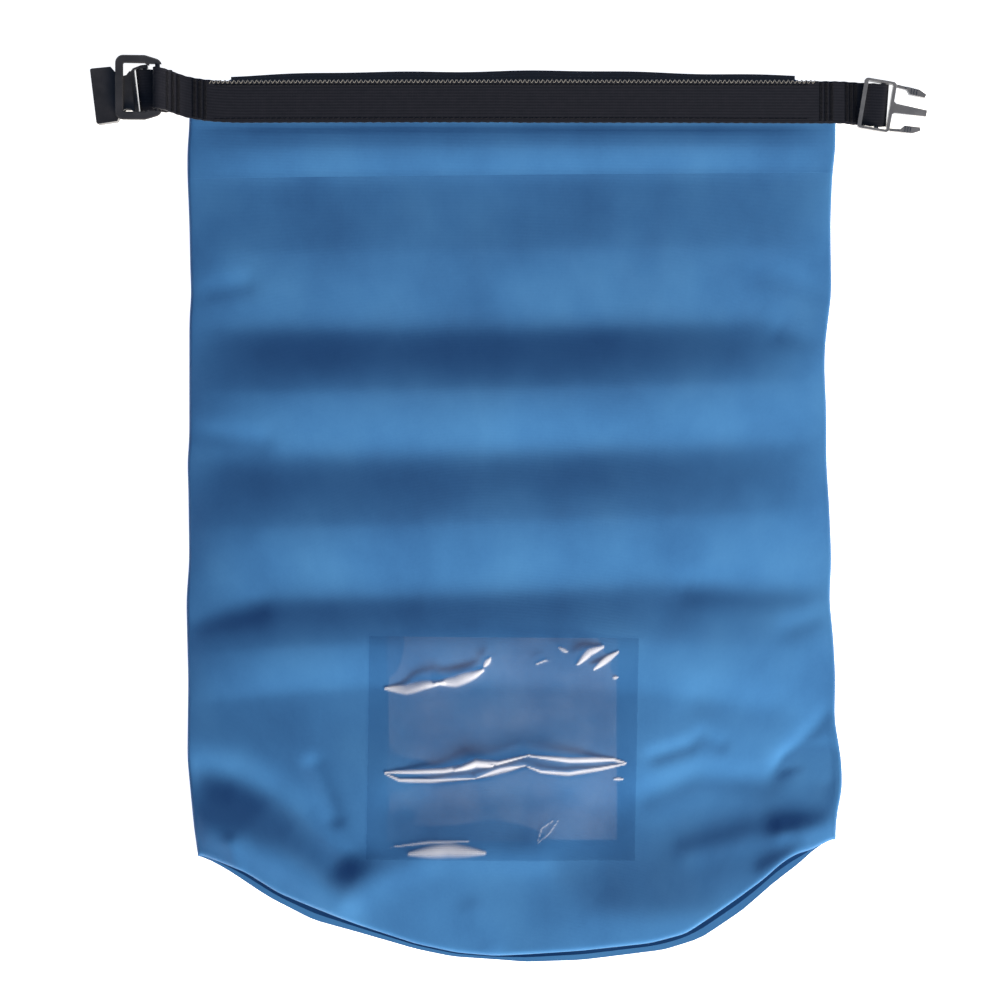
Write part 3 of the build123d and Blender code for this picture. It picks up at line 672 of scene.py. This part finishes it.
def base_place(a, b):
    """The oval base folded inwards: one half under the front panel, one half on the back."""
    across = -0.985 + 1.97 * a
    nominal = across * HALF_WIDTH
    low_front = along(FRONT_BOTTOM, nominal, 3.0)
    low_back = low_front + 0.55 * (along(BACK_BOTTOM, nominal, 3.0) - low_front)
    low_front = low_front + 2.0
    fold = -204.0 + 3.0 * across - 1.5
    upper = b < 0.5
    t = np.where(upper, b * 2, 2 - b * 2)
    low = np.where(upper, low_front, low_back)
    reach = np.minimum(fold - low, 200.0)
    y = low + np.maximum(reach, 0.3) * np.sin(t * np.pi / 2)
    middle, half = sides(y)
    x = middle + across * (half - 3.0)
    under_front = np.maximum(front_height(x, y) - FABRIC - 0.3, 2.0)
    on_back = 0.5 + FABRIC + 0.35
    closing = np.sqrt(np.clip(1 - t * t, 0.0, 1.0))
    centre = on_back + (under_front - on_back) * 0.45
    z = np.where(upper, centre + (under_front - centre) * closing, centre - (centre - on_back) * closing)
    return x, y, z


def make_base_layers():
    piece = shaped_grid("base_layers", 150, 36, base_place, (381.0, 128.0))
    thicken(piece, FABRIC, offset=0.0, rim=1)
    # both faces of the base carry the deeper blue painted shade
    finish_with(piece, BASE_SHADED_FINISH, BASE_SHADED_FINISH)
    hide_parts("base_gusset")
    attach(piece, "bag")


def hem_place(a, b):
    """Inner half of the front hem, folded over the stiffener."""
    x = -HEM_HALF + 2 * HEM_HALF * a
    y = BAND_LOW + 0.6 + (BAND_HIGH - BAND_LOW - 0.9) * b
    return x, y, arch(x) - 1.75


def make_hem_flap():
    piece = shaped_grid("hem_flap", 60, 8, hem_place, (2 * HEM_HALF, 24.0))
    thicken(piece, FABRIC * 0.7, offset=0.0, rim=1)
    finish_with(piece, FABRIC_FINISH, CUT_EDGE)
    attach(piece, "mouth")


# ---- clear window ----------------------------------------------------------------------------
def film_parts(x, y):
    """How far in from the weld, near it and over the loose film (0 to 1), and how far up."""
    left, right, bottom, top = WINDOW
    inset = np.minimum(np.minimum(x - left, right - x), y - bottom) - WELD
    return ease(inset / 3.0), ease(inset / 26.0), (y - bottom) / (top - bottom)


def film_place(a, b):
    """The film bridges the hollows and is held down at its welded margin."""
    left, right, bottom, top = WINDOW
    x = left + (right - left) * a
    lean = 3.0 * (0.5 - a)
    y = bottom + lean * 0.4 + (top - bottom) * b
    x = x + (b - 0.5) * 2.0
    fabric = front_height(x, y)
    base, _ = front_base(x, y)
    _, loose, up = film_parts(x, y)
    bridge = 0.45 * base + 0.55 * fabric + 1.2 + 0.7 * loose + 3.0 * loose * up * up
    ripple = 0.6 * cloud(x, y, 20.0, 21.0) + 2.6 * cloud(x * 0.45, y, 20.0, 25.0)
    free = bridge + ripple * loose
    for line, wide, height, _ in FILM_CREASES:
        free = free + height * crease(x, y, line, wide, 0.7)
    flat = fabric + FILM_LIFT
    over = flat + np.logaddexp(0.0, (free - flat) * 1.5) / 1.5
    z = flat + (over - flat) * loose
    return x, y, z


def make_window_film():
    piece = shaped_grid("window_pane", 196, 164, film_place, (158.9, 132.1))
    x, y, z = place_arrays(piece)
    inner, loose, _ = film_parts(x, y)
    # strength of the painted highlight along each crease, stored on the vertices
    crease_glint = np.zeros_like(x)
    for line, wide, _, mark in FILM_CREASES:
        crease_glint = np.maximum(crease_glint, mark * crease(x, y, line, wide * 0.75, 0.7))
    mark_vertices(piece, "crease_glint", ease(crease_glint * 1.4 - 0.3))
    mark_vertices(piece, "weld", 1 - inner)
    gap = (z - front_height(x, y) - FILM_LIFT) / np.maximum(loose, 0.02)
    mark_vertices(piece, "clear_gap", gap * inner)
    thicken(piece, FILM, offset=1.0)
    finish_with(piece, FILM_FINISH)
    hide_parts("window_film")
    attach(piece, "bag")


# ---- webbing ---------------------------------------------------------------------------------
def smooth_path(points, step=0.8):
    """Evenly spaced points along a soft curve through the given ones."""
    points = np.array(points, float)
    chord = np.r_[0.0, np.cumsum(np.linalg.norm(np.diff(points, axis=0), axis=1))]
    slopes = np.gradient(points, chord, axis=0)
    spots = np.arange(0.0, chord[-1], 0.2)
    i = np.clip(np.searchsorted(chord, spots, side="right") - 1, 0, len(points) - 2)
    gap = (chord[i + 1] - chord[i])[:, None]
    t = ((spots - chord[i]) / gap[:, 0])[:, None]
    path = (
        (2 * t**3 - 3 * t**2 + 1) * points[i]
        + (t**3 - 2 * t**2 + t) * gap * slopes[i]
        + (3 * t**2 - 2 * t**3) * points[i + 1]
        + (t**3 - t**2) * gap * slopes[i + 1]
    )
    long = np.r_[0.0, np.cumsum(np.linalg.norm(np.diff(path, axis=0), axis=1))]
    count = int(long[-1] / step) + 1
    even = np.linspace(0.0, long[-1], count)
    return np.stack([np.interp(even, long, path[:, k]) for k in range(path.shape[1])], axis=1)


def strap(name, path, width, shear=None):
    """Webbing along an (x, z, y of its middle) path; its width runs along Y."""
    line = smooth_path(path)
    long = np.linalg.norm(np.diff(line[:, :2], axis=0), axis=1).sum()

    def place(a, b):
        spot = a * (len(line) - 1)
        x, z, y_mid = (np.interp(spot, np.arange(len(line)), line[:, k]) for k in range(3))
        off = (b - 0.5) * width
        edge = np.abs(b - 0.5) * 2
        y = y_mid + off + 0.12 * np.sin(spot * 0.9) * edge**8
        x = x + (shear(x, off) if shear else 0.0)
        return x, y, z

    piece = shaped_grid(name, len(line) - 1, 14, place, (long, width))
    thicken(piece, WEB - 0.06, offset=0.0)
    return finish_with(piece, WEBBING_FINISH)


def band_points(side, stop):
    """The front band from the middle of the mouth to one end."""
    xs = np.linspace(0.0, stop, 14)
    return [(side * x, float(arch(x)) + WEB / 2, BAND_MIDDLE) for x in xs]


def make_left_band():
    """Left half of the front band, running on as the strap doubled round the ring's bar."""
    path = band_points(-1, 150.0) + [
        (-165, float(arch(165)) + WEB / 2, 242.3),
        (-180, float(arch(180)) + WEB / 2, 243.2),
        (-190, 4.95, 244.6),
        (-196, 4.95, 246.0),
        (-200, 6.1, 247.2),
        (-204, 8.5, 248.5),
        (-208, 10.9, 249.7),
        (-210.6, 11.65, 250.3),
        (-212.8, 10.8, 250.4),
        (-213.3, 9.4, 250.4),
        (-212.8, 8.0, 250.4),
        (-211, 7.1, 250.3),
        (-208, 6.6, 249.8),
        (-204, 5.6, 248.6),
        (-200.5, 4.2, 247.6),
        (-197.5, 3.4, 246.8),
    ]
    piece = strap("band_left", path, 24.5)
    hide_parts("front_band", "ring_strap")
    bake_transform(piece)


def make_right_band():
    """Right half of the front band, running on as the strap doubled round the plug's bar."""
    path = band_points(1, 180.0) + [
        (190, 4.95, 242.2),
        (196, 4.6, 242.1),
        (203, 4.25, 241.6),
        (209.5, 4.4, 241.2),
        (214, 5.3, 240.9),
        (218, 5.9, 240.6),
        (220, 5.95, 240.5),
        (221.8, 5.1, 240.4),
        (222.4, 3.8, 240.4),
        (221.8, 2.5, 240.4),
        (220, 1.65, 240.5),
        (216, 1.75, 240.7),
        (210, 2.7, 241.1),
        (204, 2.95, 241.5),
        (199, 3.1, 241.9),
    ]

    def yaw(x, off):
        return off * 0.07 * ease((x - 197.0) / 10.0)

    piece = strap("band_right", path, WEBBING, shear=yaw)
    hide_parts("front_band", "plug_strap")
    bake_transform(piece)


def make_socket_loop():
    """Short loop sewn under the ring's strap, round the socket's bar."""
    path = [
        (-203, 2.6, 249.2), (-208, 3.6, 249.2), (-213, 4.9, 249.2), (-217.5, 5.4, 249.2),
        (-220.2, 5.4, 249.2), (-222.1, 4.6, 249.2), (-222.7, 3.2, 249.2), (-222.1, 1.8, 249.2),
        (-220.2, 1.0, 249.2), (-217, 1.0, 249.2), (-210, 1.1, 249.2), (-203, 1.25, 249.2),
    ]

    def skew(x, off):
        return -0.11 * off * ease((-205.0 - x) / 14.0)

    piece = strap("socket_loop", path, WEBBING, shear=skew)
    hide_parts("socket_strap")
    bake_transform(piece)


def make_back_band():
    """Webbing on the inside of the back panel, bowed a little towards the mouth."""
    def place(a, b):
        x = -INNER_HALF + 2 * INNER_HALF * a
        bow = 3.0 * (1 - (x / INNER_HALF) ** 2)
        wave = 0.3 * np.sin(x / 23.0) + 0.25 * np.sin(x / 11.0 + 1.0)
        y = INNER_LOW + bow + wave + WEBBING * b
        return x, y, 1.25 + 0.15 * np.sin(x / 17.0)

    piece = shaped_grid("inner_band", 200, 12, place, (2 * INNER_HALF, WEBBING))
    thicken(piece, WEB, offset=0.0)
    # lighter copy of the black webbing: painted light
    finish_with(piece, LIT_INNER_WEBBING)
    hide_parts("back_band")
    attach(piece, "mouth")


# ---- sewing ----------------------------------------------------------------------------------
def bead(bm, place, long, thick, flat):
    """One laid stitch: a short thread with rounded, sunk ends."""
    sides_round = 6
    made = bmesh.ops.create_cone(
        bm, cap_ends=True, segments=sides_round, radius1=thick / 2 * MM, radius2=thick / 2 * MM,
        depth=long * 0.7 * MM,
    )
    verts = made["verts"]
    ends = [f for f in {f for v in verts for f in v.link_faces} if len(f.verts) == sides_round]
    grown = bmesh.ops.inset_region(bm, faces=ends, thickness=thick * 0.22 * MM, depth=0.0)
    tips = {v for f in ends for v in f.verts}
    for v in tips:
        v.co.z *= 1.4
    every = set(verts) | tips | {v for f in grown["faces"] for v in f.verts}
    lay = Matrix.Rotation(math.pi / 2, 4, "Y")
    bmesh.ops.transform(bm, matrix=place @ Matrix.Diagonal((1, 1, flat, 1)) @ lay, verts=list(every))


def thread_piece(name, places, long, thick, material, flat=0.6):
    bm = bmesh.new()
    for place in places:
        bead(bm, place, long, thick, flat)
    bmesh.ops.recalc_face_normals(bm, faces=bm.faces)
    mesh = bpy.data.meshes.new(name)
    bm.to_mesh(mesh)
    bm.free()
    mesh.polygons.foreach_set("use_smooth", np.ones(len(mesh.polygons), dtype=bool))
    piece = bpy.data.objects.new(name, mesh)
    bpy.context.scene.collection.objects.link(piece)
    return finish_with(piece, material)


def laid(x, y, z, turn=0.0, tilt=0.0):
    at = Matrix.Translation(Vector((x, y, z)) * MM)
    return at @ Matrix.Rotation(turn, 4, "Z") @ Matrix.Rotation(tilt, 4, "Y")


def make_band_rows():
    """Two rows of lock stitches along the front band."""
    places = []
    pitch, reach, inset = 3.4, 176.0, 2.5
    count = int(2 * reach / pitch)
    for y in (BAND_LOW + inset, BAND_HIGH - inset):
        for i in range(count + 1):
            x = -reach + i * pitch
            z = float(arch(x)) + WEB + 0.05
            places.append(laid(x, y, z, tilt=math.atan2(8.0 * x, BAND_HALF**2)))
    piece = thread_piece("band_rows", places, 2.9, 0.6, BLACK_THREAD)
    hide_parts("band_seams")
    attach(piece, "mouth")


def make_edge_row():
    """Zigzag overcast row over the raw top edge of the hem and the band."""
    places = []
    pitch, reach = 1.35, 180.0
    count = int(2 * reach / pitch)
    for i in range(count + 1):
        x = -reach + i * pitch
        z = float(arch(x)) + WEB + 0.02
        turn = math.pi / 2 + (0.55 if i % 2 else -0.55)
        places.append(laid(x, BAND_HIGH - 0.35, z, turn=turn))
    piece = thread_piece("edge_row", places, 2.4, 0.5, PALE_THREAD, flat=1.0)
    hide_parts("edge_stitching")
    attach(piece, "mouth")


def make_tacks(name, node, body, spots):
    """Bar tacks: dense satin stitches laid side by side across the webbing."""
    places = []
    length, closeness = 22.0, 0.75
    count = int(length / closeness)
    for x, y, z, tilt in spots:
        for i in range(count + 1):
            places.append(laid(x, y - length / 2 + i * length / count, z, turn=0.12, tilt=tilt))
    piece = thread_piece(name, places, 2.0, 0.62, BLACK_THREAD, flat=0.8)
    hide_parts(node)
    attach(piece, body)


def make_all_tacks():
    pitch = 3.2
    on_band = float(arch(186.0)) + WEB + 0.12
    left = [(-189.5 + i * pitch, 244.3 - i * 0.5, on_band, 0.0) for i in range(3)]
    make_tacks("tack_band_left", "left_band_tack", "mouth", left)
    right = [(183.1 + i * pitch, 242.2, on_band, 0.0) for i in range(3)]
    make_tacks("tack_band_right", "right_band_tack", "mouth", right)
    ring = [(-198.9 - i * pitch, 246.8 + i, 6.5 + i * 1.75, 0.5) for i in range(3)]
    make_tacks("tack_ring_strap", "ring_strap_tack", "left_tab", ring)
    plug = [(198.5 + i * 2.6, 242.0 - 0.2 * i, 5.15, 0.0) for i in range(3)]
    make_tacks("tack_plug_strap", "plug_strap_tack", "right_tab", plug)


# ---- mouldings kept from the frame -----------------------------------------------------------
def dress_frame_nodes():
    """The frame's own shapes stay; only their finishes are set."""
    for name in ("plug_frame", "plug_upper_arm", "plug_lower_arm"):
        finish_with(NODES[name], PLUG_FINISH)
    for name in ("d_ring", "socket_buckle"):
        finish_with(NODES[name], SOCKET_FINISH)
    finish_with(NODES["stiffener_strip"], STRIP_FINISH)


# ---- floor, light and camera -----------------------------------------------------------------
def make_stage():
    """Pale, faintly lit floor under the bag."""
    bm = bmesh.new()
    bmesh.ops.create_grid(bm, x_segments=1, y_segments=1, size=6.0)
    mesh = bpy.data.meshes.new("studio_floor")
    bm.to_mesh(mesh)
    bm.free()
    floor = bpy.data.objects.new("studio_floor", mesh)
    floor.location.z = -0.0006
    bpy.context.scene.collection.objects.link(floor)
    f = Finish("pale_floor", Roughness=0.9, Specular_IOR_Level=0.1)
    f.set(Base_Color=(0.9, 0.9, 0.9, 1.0), Emission_Color=(1.0, 1.0, 1.0, 1.0), Emission_Strength=1.0)
    finish_with(floor, f.material)


def make_light(name, place, target, size, power, colour, glossy):
    lamp = bpy.data.lights.new(name, "AREA")
    lamp.shape = "RECTANGLE"
    lamp.size, lamp.size_y = size
    lamp.energy = power
    lamp.color = colour
    holder = bpy.data.objects.new(name, lamp)
    holder.location = place
    holder.rotation_euler = (Vector(target) - Vector(place)).to_track_quat("-Z", "Y").to_euler()
    holder.visible_camera = False
    holder.visible_glossy = glossy
    bpy.context.scene.collection.objects.link(holder)


def make_lighting():
    middle = (0.0, 0.0, 0.0)
    make_light("key_box", (3.12, -5.12, 2.28), middle, (5.2, 1.68), 1240.0, (1.0, 0.88, 0.73), False)
    make_light("top_box", (0.3, 0.2, 1.9), middle, (0.9, 0.9), 2.0, (0.85, 0.93, 1.0), True)
    world = bpy.data.worlds.new("studio_air")
    world.use_nodes = True
    sky = world.node_tree.nodes["Background"]
    sky.inputs[0].default_value = (0.46, 0.7, 1.3, 1.0)
    sky.inputs[1].default_value = 0.16
    bpy.context.scene.world = world
    bpy.context.scene.view_settings.view_transform = "Standard"


def make_camera():
    """Straight down on the lying bag, the mouth at the top of the view."""
    eye = bpy.data.cameras.new("eye")
    eye.lens = 120.0
    eye.sensor_width = 36.0
    holder = bpy.data.objects.new("eye", eye)
    holder.location = (-0.0077, 0.00565, 1.988)
    bpy.context.scene.collection.objects.link(holder)
    bpy.context.scene.camera = holder


make_bag_fabric()
make_roll_fabric()
make_base_layers()
make_hem_flap()
make_window_film()
make_left_band()
make_right_band()
make_socket_loop()
make_back_band()
make_band_rows()
make_edge_row()
make_all_tacks()
dress_frame_nodes()
make_stage()
make_lighting()
make_camera()
